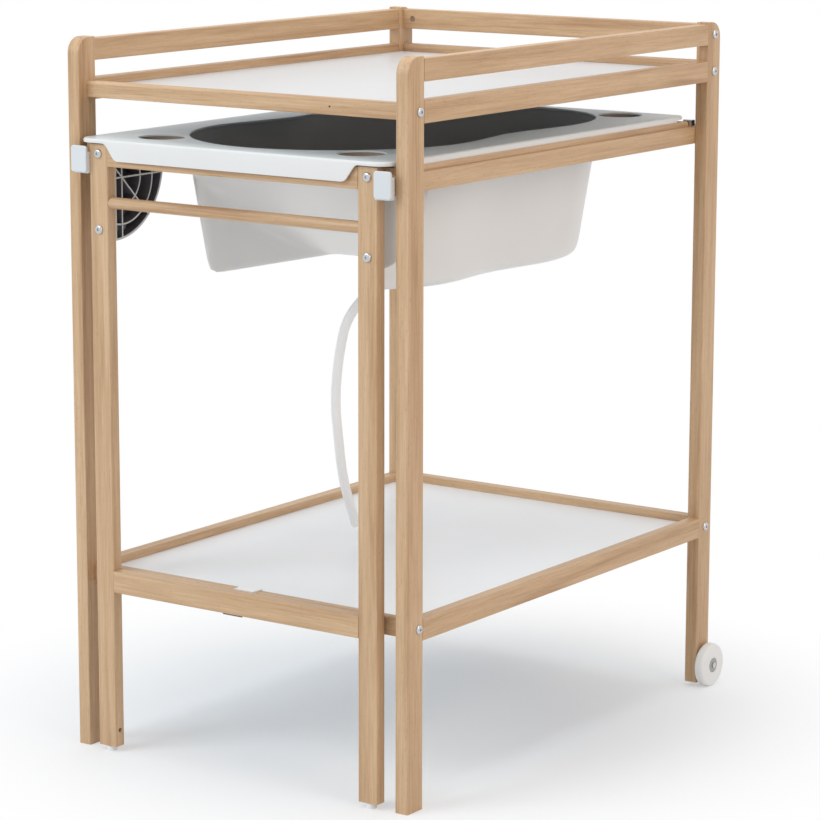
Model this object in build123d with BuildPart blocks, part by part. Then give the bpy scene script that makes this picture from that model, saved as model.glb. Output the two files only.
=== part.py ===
import os
from math import pi, radians, sqrt, tan

from build123d import *

os.makedirs("parts", exist_ok=True)

# Changing table with a bath unit that slides out from under the changing tray.
# X runs along the short front, Y from the front to the back and Z up, in millimetres.
# The origin is on the floor, under the middle of the whole outline.

# Outer frame: overall size and timber
frame_width = 570.0
frame_depth = 792.0
frame_height = 1000.0
post_width = 20.0
post_depth = 35.0
post_crown = 22.0
rear_foot_lift = 7.0
rail_thickness = 18.0
rail_height = 30.0
timber_edge = 1.5
overrun = 5.0

# Outer frame: heights of the rails
upper_rail_drop = 3.0
tray_rail_drop = 56.5
front_tray_rail_height = 22.0
front_tray_rail_drop = 3.5
front_rail_round = 4.0
shelf_rail_top = 261.0
front_shelf_rail_height = 25.0
front_rail_setback = 16.0
rear_rail_setback = 8.0
plug_hole_radius = 1.5
plug_hole_depth = 3.0
plug_hole_x_share = 0.26

# Panels in the tray and the shelf
panel_thickness = 8.0
panel_drop = 11.5
groove_depth = 6.0
groove_clearance = 0.3

# Bolts, barrel nuts, dowels and wood screws
bolt_radius = 3.0
bolt_length = 42.0
bolt_head_radius = 6.5
bolt_head_height = 3.2
bolt_head_round = 2.6
hex_socket_radius = 2.3
hex_socket_depth = 1.8
fit_clearance = 0.05
nut_radius = 5.0
nut_length = 13.0
nut_inset = 18.0
dowel_radius = 3.0
dowel_spacing = 16.0
dowel_in_post = 9.0
dowel_in_rail = 18.0
screw_radius = 2.0
screw_head_radius = 4.0
screw_head_height = 2.4
slide_screw_length = 30.0

# Wheels on the rear posts
wheel_radius = 33.0
wheel_width = 15.0
wheel_round = 5.0
wheel_setback = 15.0
wheel_gap = 3.0
wheel_play = 0.3
axle_radius = 4.0
axle_in_post = 15.0
hub_recess_depth = 2.0
hub_recess_radius = 11.2
hub_washer_radius = 10.6
spacer_radius = 8.0
axle_head_radius = 4.6
axle_head_height = 2.2

# Slide rails on the inner faces of the posts
slide_rail_thickness = 18.0
slide_rail_height = 26.0
slide_rail_drop = 95.0
slide_rail_inset = 1.0
stop_space = 12.0
stop_width = 14.0
stop_height = 9.5
stop_plate = 1.2
stop_gap = 1.0
stop_recess = 1.5

# Bath unit: legs, rails and runners
leg_width = 30.5
leg_thickness = 18.0
leg_outer_gap = 24.0
leg_proud = 8.0
leg_rise = 9.5
glide_height = 8.0
glide_radius = 7.0
glide_pin_radius = 2.5
glide_pin_length = 9.0
upper_bolt_drop = 13.0
lower_bolt_rise = 16.5
leg_hole_radius = 3.3
leg_hole_height = 31.0
leg_hole_depth = 8.0
bath_rail_height = 30.0
towel_bar_radius = 8.0
towel_bar_drop = 80.0
towel_bar_socket = 12.0
stretcher_rise = 2.0
stretcher_height = 31.0
runner_web = 18.0
runner_height = 28.0
runner_flange = 8.0
runner_gap = 4.0
runner_end_round = 7.0

# Catches on the legs and the latch at the shelf
catch_width = 27.0
catch_height = 36.0
catch_plate = 3.5
catch_proud = 8.0
catch_drop = 3.0
catch_round = 4.0
catch_edge = 1.2
catch_body_width = 23.0
catch_body_height = 29.0
catch_post_gap = 1.0
catch_screw_drop = 23.0
catch_screw_length = 15.0
catch_tab = 3.0
catch_tab_setback = 2.0
latch_width = 33.0
latch_height = 9.0
latch_rise = 2.0
latch_gap = 0.8
latch_plate = 1.2
latch_x = 3.0
striker_width = 33.0
striker_shift = 17.5
striker_drop = 7.0
striker_top_gap = 4.0

# Corner brackets between the legs and the runners
bracket_radius = 104.0
bracket_wall = 3.0
bracket_depth = 22.0
bracket_inset = 1.5
bracket_round = 5.0
bracket_rib = 2.2
bracket_rib_y = 15.0
bracket_rib_z = 18.0
bracket_inner_gap = 65.0
bracket_outer_gap = 40.5
bracket_boss_radius = 7.5

# Tub: rim, bowl and dishes
rim_side_gap = 5.0
rim_front_proud = 6.0
rim_back_inset = 9.0
rim_skirt_height = 9.0
rim_wall = 3.0
rim_corner = 25.0
rim_back_corner = 10.0
rim_back_notch = 20.0
rim_round = 2.0
rim_lip = 5.5
apron_side_gap = 1.5
apron_slant = 17.0
apron_drop = 28.5
apron_corner = 12.0
apron_shoulder = 9.0
bowl_front_gap = 39.0
bowl_back_gap = 18.0
bowl_side_gap = 8.75
bowl_waist_draw = 18.0
bowl_rear_draw = 7.0
bowl_draft = 26.0
bowl_depth = 196.0
bowl_knee = 18.0
bowl_toe = 6.0
bowl_toe_draft = 5.0
bowl_bottom_draft = 11.0
bowl_wall = 3.0
lobe_width = 60.0
ramp_end = 382.0
ramp_knee_y = 207.0
ramp_knee_rise = 60.0
ramp_bend_y = 321.0
ramp_bend_rise = 16.0
ramp_slope_share = 0.62
dish_radius = 32.0
dish_depth = 14.0
dish_wall = 2.5
front_dish_inset = 92.0
front_dish_y = 74.0
rear_dish_inset = 80.0
rear_dish_y = 51.0
notch_width = 26.0
notch_depth = 9.0
notch_length = 60.0
notch_turn = 34.0
tray_slot_length = 82.0
tray_slot_width = 13.0
tray_slot_depth = 5.0
tray_slot_inset = 53.0

# Drain under the bowl
drain_from_ramp = 36.0
drain_hole_radius = 15.0
drain_flange_radius = 22.0
drain_flange = 2.0
drain_bore_radius = 11.0
drain_tube_depth = 12.0
drain_cup_radius = 20.0
drain_cup_height = 32.0
drain_cup_floor = 4.0
drain_clearance = 0.3
spigot_reach = 40.0
spigot_drop = 21.0
plug_radius = 10.7
plug_depth = 6.0
plug_cap_radius = 16.0
plug_cap_height = 3.0
plug_knob_radius = 4.0
plug_knob_height = 10.0
plug_knob_round = 1.5

# Drain hose: a free cord, its route chosen by hand from the outlet down to the shelf
hose_radius = 7.0
hose_bore = 5.0
hose_bend_share = 0.45
hose_steps = [
    (0, 0, 0),
    (0, -66, 0),
    (-20, -118, -40),
    (-40, -112, -100),
    (-55, -102, -170),
    (-60, -86, -235),
    (-68, -66, -290),
    (-75, -38, -340),
    (-83, -14, -372),
]

# Places that follow from the sizes above
front_overhang = leg_proud + catch_proud
rear_overhang = wheel_radius - wheel_setback
frame_front = (front_overhang - rear_overhang - frame_depth) / 2
frame_back = frame_front + frame_depth
half_width = frame_width / 2
post_inner = half_width - post_width
front_post_back = frame_front + post_depth
rear_post_front = frame_back - post_depth
front_rail_y = (frame_front + front_rail_setback, frame_front + front_rail_setback + rail_thickness)
rear_rail_y = (frame_back - rear_rail_setback - rail_thickness, frame_back - rear_rail_setback)
upper_rail_top = frame_height - upper_rail_drop
tray_rail_top = frame_height - tray_rail_drop
slide_rail_top = tray_rail_top - slide_rail_drop
rail_z = {
    "upper": (upper_rail_top - rail_height, upper_rail_top),
    "tray": (tray_rail_top - rail_height, tray_rail_top),
    "shelf": (shelf_rail_top - rail_height, shelf_rail_top),
}
front_tray_top = tray_rail_top - front_tray_rail_drop
front_rail_z = {
    "tray": (front_tray_top - front_tray_rail_height, front_tray_top),
    "shelf": (shelf_rail_top - front_shelf_rail_height, shelf_rail_top),
}
leg_top = slide_rail_top + leg_rise
leg_outer = post_inner - leg_outer_gap
leg_inner = leg_outer - leg_width
leg_middle = leg_outer - leg_width / 2
leg_y = (frame_front - leg_proud, frame_front - leg_proud + leg_thickness)
rim_front = leg_y[0] - rim_front_proud
runner_y = (leg_y[1], rear_post_front - stop_space)
runner_top = slide_rail_top + runner_flange
runner_bottom = runner_top - runner_height
upper_leg_bolt = leg_top - upper_bolt_drop
lower_leg_bolt = runner_bottom - bracket_radius + lower_bolt_rise
runner_inner = leg_middle - runner_web / 2
runner_outer = leg_middle + runner_web / 2
sides = {"left": -1, "right": 1}


def middle(span):
    """The middle of a (low, high) span."""
    return (span[0] + span[1]) / 2


def about(centre, size):
    """The span of the given size about a centre."""
    return (centre - size / 2, centre + size / 2)


def across(side, near, far):
    """The x span from near to far of the middle plane, on the given side."""
    return (min(side * near, side * far), max(side * near, side * far))


def bar(x, y, z, mode=Mode.ADD):
    """A straight bar over three spans."""
    with Locations((middle(x), middle(y), middle(z))):
        Box(x[1] - x[0], y[1] - y[0], z[1] - z[0], mode=mode)


def rod_x(x, y, z, radius, mode=Mode.ADD):
    """A round rod along X over the span x."""
    with Locations(Location((middle(x), y, z), (0, 90, 0))):
        Cylinder(radius, x[1] - x[0], mode=mode)


def rod_y(x, y, z, radius, mode=Mode.ADD):
    """A round rod along Y over the span y."""
    with Locations(Location((x, middle(y), z), (90, 0, 0))):
        Cylinder(radius, y[1] - y[0], mode=mode)


def rod_z(x, y, z, radius, mode=Mode.ADD):
    """A round rod along Z over the span z."""
    with Locations((x, y, middle(z))):
        Cylinder(radius, z[1] - z[0], mode=mode)


def timber(x, y, z, along, top_round=timber_edge):
    """A wooden bar over three spans, its long edges softened."""
    with BuildPart() as stick:
        bar(x, y, z)
        fillet(stick.edges().filter_by(along).group_by(Axis.Z)[-1], radius=top_round)
        fillet(stick.edges().filter_by(along).group_by(Axis.Z)[0], radius=timber_edge)
    return stick.part


def post_bar(x, y, z):
    """An upright wooden bar with its four long edges softened."""
    with BuildPart() as stick:
        bar(x, y, z)
        fillet(stick.edges().filter_by(Axis.Z), radius=timber_edge)
    return stick.part


def save(piece, name):
    """Label a finished piece and write its file."""
    piece.part.label = name
    export_step(piece.part, f"parts/{name}.step")


def dome_bolt(length):
    """A bolt whose shank runs down from the origin and whose domed head lies above it."""
    with BuildPart() as bolt:
        rod_z(0, 0, (0, bolt_head_height), bolt_head_radius)
        fillet(bolt.edges().group_by(Axis.Z)[-1], radius=bolt_head_round)
        with BuildSketch(Plane.XY.offset(bolt_head_height)):
            RegularPolygon(hex_socket_radius, 6)
        extrude(amount=-hex_socket_depth, mode=Mode.SUBTRACT)
        rod_z(0, 0, (-length, 0), bolt_radius)
    return bolt.part


def barrel_nut():
    """A round cross nut along Y, bored along X for its bolt."""
    with BuildPart() as nut:
        rod_y(0, about(0, nut_length), 0, nut_radius)
        rod_x(about(0, nut_radius * 2 + overrun), 0, 0, bolt_radius + fit_clearance, mode=Mode.SUBTRACT)
    return nut.part


def wood_screw(length):
    """A countersunk screw whose head ends flush at the origin and whose point runs down."""
    with BuildPart() as screw:
        rod_z(0, 0, (-length, -screw_head_height), screw_radius)
        with Locations((0, 0, -screw_head_height / 2)):
            Cone(screw_radius, screw_head_radius, screw_head_height)
    return screw.part


def dowel_heights(z):
    """The two heights of a rail's dowels about its middle."""
    return (middle(z) - dowel_spacing / 2, middle(z) + dowel_spacing / 2)


# Places of the frame's bolts: side, y, z and the face that the barrel nut goes in from
frame_bolt_spots = []
for side in sides.values():
    for name in ("tray", "shelf"):
        frame_bolt_spots.append((side, middle(front_rail_y), middle(front_rail_z[name])))
    for name in ("upper", "tray", "shelf"):
        frame_bolt_spots.append((side, middle(rear_rail_y), middle(rail_z[name])))

# Places of the slide rail's screws and of the side rails' dowels in the posts
slide_rail_z = (slide_rail_top - slide_rail_height, slide_rail_top)
slide_rail_near = post_inner - slide_rail_thickness
slide_screw_y = (frame_front + post_depth / 2, frame_back - post_depth / 2)
side_rail_middle = half_width - rail_thickness / 2
wheel_y = frame_back - wheel_setback

# Posts, their bolt, dowel, screw and axle holes
for side_name, side in sides.items():
    for end_name, at_rear in (("front", False), ("rear", True)):
        y = (rear_post_front, frame_back) if at_rear else (frame_front, front_post_back)
        z = (rear_foot_lift if at_rear else 0, frame_height)
        x = across(side, post_inner, half_width)
        with BuildPart() as post:
            bar(x, y, z)
            top_edges = post.edges().filter_by(Axis.X).group_by(Axis.Z)[-1].sort_by(Axis.Y)
            fillet(top_edges[-1] if at_rear else top_edges[0], radius=post_crown)
            fillet(post.edges().filter_by(Axis.Z), radius=timber_edge)
            for spot_side, spot_y, spot_z in frame_bolt_spots:
                if spot_side == side and y[0] < spot_y < y[1]:
                    rod_x(x, spot_y, spot_z, bolt_radius + fit_clearance, mode=Mode.SUBTRACT)
            dowel_y = (y[0], y[0] + dowel_in_post) if at_rear else (y[1] - dowel_in_post, y[1])
            for span in rail_z.values():
                for height in dowel_heights(span):
                    hole_radius = dowel_radius + fit_clearance
                    rod_y(side * side_rail_middle, dowel_y, height, hole_radius, mode=Mode.SUBTRACT)
            screw_x = across(side, post_inner, slide_rail_near + slide_screw_length)
            screw_hole = screw_radius + fit_clearance
            rod_x(screw_x, middle(y), middle(slide_rail_z), screw_hole, mode=Mode.SUBTRACT)
            if at_rear:
                axle_x = across(side, half_width - axle_in_post, half_width)
                axle_hole = axle_radius + fit_clearance
                rod_x(axle_x, wheel_y, wheel_radius, axle_hole, mode=Mode.SUBTRACT)
        save(post, f"post_{end_name}_{side_name}")

# Side rails: dowelled between the posts, grooved for the panels
panel_z = {
    "tray": (tray_rail_top - panel_drop - panel_thickness, tray_rail_top - panel_drop),
    "shelf": (shelf_rail_top - panel_drop - panel_thickness, shelf_rail_top - panel_drop),
}
for side_name, side in sides.items():
    for rail_name, z in rail_z.items():
        with BuildPart() as side_rail:
            x = across(side, half_width - rail_thickness, half_width)
            add(timber(x, (front_post_back, rear_post_front), z, Axis.Y))
            for y in (front_post_back, rear_post_front - dowel_in_rail):
                for height in dowel_heights(z):
                    span = (y, y + dowel_in_rail)
                    hole_radius = dowel_radius + fit_clearance
                    rod_y(side * side_rail_middle, span, height, hole_radius, mode=Mode.SUBTRACT)
            if rail_name in panel_z:
                groove_x = across(side, 0, half_width - rail_thickness + groove_depth)
                groove_z = (panel_z[rail_name][0], panel_z[rail_name][1] + groove_clearance)
                bar(groove_x, (frame_front, frame_back), groove_z, mode=Mode.SUBTRACT)
        save(side_rail, f"{rail_name}_rail_{side_name}")


def cross_rail(y, z, panel, nut_from_rear, top_round=timber_edge):
    """A rail between two posts, bored for its bolts and nuts and grooved for a panel."""
    with BuildPart() as rail:
        add(timber((-post_inner, post_inner), y, z, Axis.X, top_round))
        for side in sides.values():
            bolt_x = across(side, half_width - bolt_length - overrun, post_inner)
            rod_x(bolt_x, middle(y), middle(z), bolt_radius + fit_clearance, mode=Mode.SUBTRACT)
            nut_y = (middle(y) - nut_length / 2, y[1]) if nut_from_rear else (y[0], middle(y) + nut_length / 2)
            nut_hole = nut_radius + fit_clearance
            rod_y(side * (post_inner - nut_inset), nut_y, middle(z), nut_hole, mode=Mode.SUBTRACT)
        if panel:
            groove_y = (y[1] - groove_depth, y[1]) if nut_from_rear else (y[0], y[0] + groove_depth)
            groove_z = (panel[0], panel[1] + groove_clearance)
            bar((-post_inner, post_inner), groove_y, groove_z, mode=Mode.SUBTRACT)
    return rail


# Rear rails and front rails between the posts
for rail_name, z in rail_z.items():
    save(cross_rail(rear_rail_y, z, panel_z.get(rail_name), False), f"{rail_name}_rail_rear")
with BuildPart() as shelf_rail_front:
    add(cross_rail(front_rail_y, front_rail_z["shelf"], panel_z["shelf"], True, front_rail_round).part)
    notch_x = about(latch_x, latch_width + fit_clearance * 2)
    bar(notch_x, front_rail_y, (shelf_rail_top - latch_height, shelf_rail_top), mode=Mode.SUBTRACT)
save(shelf_rail_front, "shelf_rail_front")
with BuildPart() as tray_rail_front:
    add(cross_rail(front_rail_y, front_rail_z["tray"], panel_z["tray"], True, front_rail_round).part)
    plug_y = (front_rail_y[0], front_rail_y[0] + plug_hole_depth)
    plug_z = middle(front_rail_z["tray"])
    rod_y(plug_hole_x_share * frame_width, plug_y, plug_z, plug_hole_radius, mode=Mode.SUBTRACT)
save(tray_rail_front, "tray_rail_front")

# Panels: loose in their grooves, notched round the posts
for panel_name, z in panel_z.items():
    with BuildPart() as panel:
        inset = groove_depth - groove_clearance
        wide = half_width - rail_thickness + inset
        bar((-wide, wide), (front_post_back, rear_post_front), z)
        between = post_inner - groove_clearance
        bar((-between, between), (front_rail_y[1], rear_rail_y[0]), z)
        tongue = post_inner - nut_inset - nut_radius - groove_clearance
        bar((-tongue, tongue), (front_rail_y[1] - inset, rear_rail_y[0] + inset), z)
    save(panel, f"{panel_name}_panel")

# Frame bolts and their barrel nuts
with BuildPart() as frame_bolts:
    for side, y, z in frame_bolt_spots:
        with Locations(Location((side * half_width, y, z), (0, side * 90, 0))):
            add(dome_bolt(bolt_length))
save(frame_bolts, "frame_bolts")
with BuildPart() as frame_nuts:
    for side, y, z in frame_bolt_spots:
        with Locations((side * (post_inner - nut_inset), y, z)):
            add(barrel_nut())
save(frame_nuts, "frame_nuts")

# Dowels of the side rails
with BuildPart() as frame_dowels:
    for side in sides.values():
        for z in rail_z.values():
            for height in dowel_heights(z):
                for y in (front_post_back - dowel_in_post, rear_post_front - dowel_in_rail):
                    span = (y, y + dowel_in_post + dowel_in_rail)
                    rod_y(side * side_rail_middle, span, height, dowel_radius)
save(frame_dowels, "frame_dowels")

# Slide rails and the screws that hold them to the posts
for side_name, side in sides.items():
    with BuildPart() as slide_rail:
        x = across(side, slide_rail_near, post_inner)
        y = (frame_front + slide_rail_inset, frame_back - slide_rail_inset)
        add(timber(x, y, slide_rail_z, Axis.Y))
        for screw_y in slide_screw_y:
            rod_x(x, screw_y, middle(slide_rail_z), screw_radius + fit_clearance, mode=Mode.SUBTRACT)
            seat_x = across(side, slide_rail_near, slide_rail_near + screw_head_height + fit_clearance)
            seat_radius = screw_head_radius + fit_clearance
            rod_x(seat_x, screw_y, middle(slide_rail_z), seat_radius, mode=Mode.SUBTRACT)
    save(slide_rail, f"slide_rail_{side_name}")
with BuildPart() as slide_screws:
    for side in sides.values():
        for y in slide_screw_y:
            place = (side * slide_rail_near, y, middle(slide_rail_z))
            with Locations(Location(place, (0, -side * 90, 0))):
                add(wood_screw(slide_screw_length))
save(slide_screws, "slide_rail_screws")

# Rear stops: a rubber buffer in a folded steel clip on each slide rail, against the post
stop_y = (runner_y[1] + stop_gap, rear_post_front)
stop_z = (slide_rail_top, slide_rail_top + stop_height)
for side_name, side in sides.items():
    stop_x = across(side, post_inner - stop_width, post_inner)
    buffer_y = (stop_y[0] + stop_plate, stop_y[1] - stop_plate)
    buffer_z = (stop_z[0] + stop_plate, stop_z[1] - stop_plate)
    with BuildPart() as stop_clip:
        bar(stop_x, stop_y, stop_z)
        fillet(stop_clip.edges().filter_by(Axis.X).sort_by(Axis.Z)[-2:], radius=stop_plate * 2)
        bar(stop_x, buffer_y, buffer_z, mode=Mode.SUBTRACT)
    save(stop_clip, f"stop_clip_{side_name}")
    with BuildPart() as stop_buffer:
        bar(across(side, post_inner - stop_width, post_inner - stop_recess), buffer_y, buffer_z)
    save(stop_buffer, f"stop_buffer_{side_name}")

# Wheels, turning on screws in the rear posts
wheel_x = (half_width + wheel_gap, half_width + wheel_gap + wheel_width)
washer_x = (wheel_x[1] - hub_recess_depth + wheel_play, wheel_x[1])
for side_name, side in sides.items():
    with BuildPart() as wheel:
        span = across(side, *wheel_x)
        rod_x(span, wheel_y, wheel_radius, wheel_radius)
        fillet(wheel.edges(), radius=wheel_round)
        rod_x(span, wheel_y, wheel_radius, axle_radius + fit_clearance, mode=Mode.SUBTRACT)
        recess_x = across(side, wheel_x[1] - hub_recess_depth, wheel_x[1])
        rod_x(recess_x, wheel_y, wheel_radius, hub_recess_radius, mode=Mode.SUBTRACT)
    save(wheel, f"wheel_{side_name}")
with BuildPart() as axle_screws:
    for side in sides.values():
        rod_x(across(side, half_width - axle_in_post, washer_x[1]), wheel_y, wheel_radius, axle_radius)
        head_x = across(side, washer_x[1], washer_x[1] + axle_head_height)
        rod_x(head_x, wheel_y, wheel_radius, axle_head_radius)
save(axle_screws, "axle_screws")
with BuildPart() as hub_washers:
    for side in sides.values():
        span = across(side, *washer_x)
        rod_x(span, wheel_y, wheel_radius, hub_washer_radius)
        rod_x(span, wheel_y, wheel_radius, axle_radius + fit_clearance, mode=Mode.SUBTRACT)
save(hub_washers, "hub_washers")
with BuildPart() as wheel_spacers:
    for side in sides.values():
        span = across(side, half_width, wheel_x[0] - wheel_play)
        rod_x(span, wheel_y, wheel_radius, spacer_radius)
        rod_x(span, wheel_y, wheel_radius, axle_radius + fit_clearance, mode=Mode.SUBTRACT)
save(wheel_spacers, "wheel_spacers")

# Bath unit legs, bored for bolts, towel bar, dowels, catches and glides
bath_rail_z = (leg_top - bath_rail_height, leg_top)
stretcher_top = shelf_rail_top + stretcher_rise
stretcher_z = (stretcher_top - stretcher_height, stretcher_top)
towel_bar_height = leg_top - towel_bar_drop
catch_top = leg_top - catch_drop
catch_screw_z = catch_top - catch_screw_drop
for side_name, side in sides.items():
    with BuildPart() as leg:
        x = across(side, leg_inner, leg_outer)
        add(post_bar(x, leg_y, (glide_height, leg_top)))
        for height in (upper_leg_bolt, lower_leg_bolt):
            rod_y(side * leg_middle, leg_y, height, bolt_radius + fit_clearance, mode=Mode.SUBTRACT)
        socket_x = across(side, leg_inner, leg_inner + towel_bar_socket)
        socket_radius = towel_bar_radius + fit_clearance
        rod_x(socket_x, middle(leg_y), towel_bar_height, socket_radius, mode=Mode.SUBTRACT)
        dowel_x = across(side, leg_inner, leg_inner + dowel_in_post)
        for span in (bath_rail_z, stretcher_z):
            for height in dowel_heights(span):
                hole_radius = dowel_radius + fit_clearance
                rod_x(dowel_x, middle(leg_y), height, hole_radius, mode=Mode.SUBTRACT)
        peg_x = across(side, leg_inner, leg_inner + leg_hole_depth)
        rod_x(peg_x, middle(leg_y), leg_hole_height, leg_hole_radius, mode=Mode.SUBTRACT)
        screw_x = across(side, leg_outer + catch_tab - catch_screw_length, leg_outer)
        screw_hole = screw_radius + fit_clearance
        rod_x(screw_x, middle(leg_y), catch_screw_z, screw_hole, mode=Mode.SUBTRACT)
        pin_z = (glide_height, glide_height + glide_pin_length)
        rod_z(side * leg_middle, middle(leg_y), pin_z, glide_pin_radius + fit_clearance, mode=Mode.SUBTRACT)
    save(leg, f"bath_leg_{side_name}")
with BuildPart() as glides:
    for side in sides.values():
        rod_z(side * leg_middle, middle(leg_y), (0, glide_height), glide_radius)
        pin_z = (glide_height, glide_height + glide_pin_length)
        rod_z(side * leg_middle, middle(leg_y), pin_z, glide_pin_radius)
save(glides, "leg_glides")

# Rails between the legs, the towel bar and the rear rail between the runners
rear_bath_rail_y = (runner_y[1] - rail_thickness, runner_y[1])
rear_bath_rail_z = (runner_bottom, runner_top)
bath_rails = {
    "bath_rail_front": (leg_inner, leg_y, bath_rail_z),
    "bath_stretcher": (leg_inner, leg_y, stretcher_z),
    "bath_rail_rear": (runner_inner, rear_bath_rail_y, rear_bath_rail_z),
}
for rail_name, (reach, y, z) in bath_rails.items():
    with BuildPart() as bath_rail:
        add(timber((-reach, reach), y, z, Axis.X))
        for side in sides.values():
            for height in dowel_heights(z):
                dowel_x = across(side, reach - dowel_in_rail, reach)
                hole_radius = dowel_radius + fit_clearance
                rod_x(dowel_x, middle(y), height, hole_radius, mode=Mode.SUBTRACT)
    save(bath_rail, rail_name)
with BuildPart() as bath_dowels:
    for reach, y, z in bath_rails.values():
        for side in sides.values():
            for height in dowel_heights(z):
                dowel_x = across(side, reach - dowel_in_rail, reach + dowel_in_post)
                rod_x(dowel_x, middle(y), height, dowel_radius)
save(bath_dowels, "bath_dowels")
with BuildPart() as towel_bar:
    reach = leg_inner + towel_bar_socket
    rod_x((-reach, reach), middle(leg_y), towel_bar_height, towel_bar_radius)
save(towel_bar, "towel_bar")

# Runners: a web behind each leg and a flange that rides on the slide rail
for side_name, side in sides.items():
    with BuildPart() as runner:
        with BuildSketch(Plane.XZ.offset(-runner_y[0])):
            with BuildLine():
                web_in = side * runner_inner
                web_out = side * runner_outer
                flange_out = side * (post_inner - runner_gap)
                Polyline(
                    (web_in, runner_bottom),
                    (web_out, runner_bottom),
                    (web_out, slide_rail_top),
                    (flange_out, slide_rail_top),
                    (flange_out, runner_top),
                    (web_in, runner_top),
                    close=True,
                )
            make_face()
        extrude(amount=-(runner_y[1] - runner_y[0]))
        rear_edges = runner.edges().filter_by(Axis.X).group_by(Axis.Y)[-1]
        fillet(rear_edges.sort_by(Axis.Z)[-1], radius=runner_end_round)
        bolt_span = (runner_y[0], leg_y[0] + bolt_length + overrun)
        rod_y(side * leg_middle, bolt_span, upper_leg_bolt, bolt_radius + fit_clearance, mode=Mode.SUBTRACT)
        nut_x = across(side, runner_inner, leg_middle + nut_length / 2)
        nut_place = runner_y[0] + nut_inset
        rod_x(nut_x, nut_place, upper_leg_bolt, nut_radius + fit_clearance, mode=Mode.SUBTRACT)
        for height in dowel_heights(rear_bath_rail_z):
            dowel_x = across(side, runner_inner, runner_inner + dowel_in_post)
            hole_radius = dowel_radius + fit_clearance
            rod_x(dowel_x, middle(rear_bath_rail_y), height, hole_radius, mode=Mode.SUBTRACT)
    save(runner, f"runner_{side_name}")

# Leg bolts and the cross nuts in the runners
with BuildPart() as leg_bolts:
    for side in sides.values():
        for height in (upper_leg_bolt, lower_leg_bolt):
            with Locations(Location((side * leg_middle, leg_y[0], height), (90, 0, 0))):
                add(dome_bolt(bolt_length))
save(leg_bolts, "leg_bolts")
with BuildPart() as runner_nuts:
    for side in sides.values():
        place = (side * leg_middle, runner_y[0] + nut_inset, upper_leg_bolt)
        with Locations(Location(place, (0, 0, 90))):
            add(barrel_nut())
save(runner_nuts, "runner_nuts")

# Catches: white blocks on the legs that stand in front of the slide rails
catch_front = leg_y[0] - catch_proud
catch_plate_y = (catch_front, catch_front + catch_plate)
catch_body_y = (catch_plate_y[1], frame_front - catch_post_gap)
catch_z = (catch_top - catch_height, catch_top)
for side_name, side in sides.items():
    with BuildPart() as catch:
        bar(across(side, leg_outer, leg_outer + catch_width), catch_plate_y, catch_z)
        fillet(catch.edges().filter_by(Axis.Y), radius=catch_round)
        fillet(catch.edges().group_by(Axis.Y)[0], radius=catch_edge)
        body_x = across(side, leg_outer, leg_outer + catch_body_width)
        body_z = about(catch_screw_z, catch_body_height)
        bar(body_x, catch_body_y, body_z)
        tab_x = across(side, leg_outer, leg_outer + catch_tab)
        tab_y = (catch_body_y[1], leg_y[1] - catch_tab_setback)
        bar(tab_x, tab_y, body_z)
        rod_x(tab_x, middle(leg_y), catch_screw_z, screw_radius + fit_clearance, mode=Mode.SUBTRACT)
        seat_x = across(side, leg_outer + catch_tab - screw_head_height - fit_clearance, leg_outer + catch_tab)
        seat_radius = screw_head_radius + fit_clearance
        rod_x(seat_x, middle(leg_y), catch_screw_z, seat_radius, mode=Mode.SUBTRACT)
    save(catch, f"catch_{side_name}")
with BuildPart() as catch_screws:
    for side in sides.values():
        place = (side * (leg_outer + catch_tab), middle(leg_y), catch_screw_z)
        with Locations(Location(place, (0, side * 90, 0))):
            add(wood_screw(catch_screw_length))
save(catch_screws, "catch_screws")

# Latch: a magnet in a white housing let into the shelf rail and a steel striker behind the stretcher
striker_y = (leg_y[1], leg_y[1] + latch_plate)
housing_y = (striker_y[1] + latch_gap, front_rail_y[1])
with BuildPart() as latch_magnet:
    housing_z = (shelf_rail_top - latch_height, shelf_rail_top + latch_rise)
    bar(about(latch_x, latch_width), housing_y, housing_z)
    fillet(latch_magnet.edges().filter_by(Axis.Z), radius=latch_plate)
save(latch_magnet, "latch_magnet")
with BuildPart() as latch_striker:
    striker_x = about(latch_x - striker_shift, striker_width)
    bar(striker_x, striker_y, (stretcher_z[0] - striker_drop, stretcher_z[1] - striker_top_gap))
save(latch_striker, "latch_striker")

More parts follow.
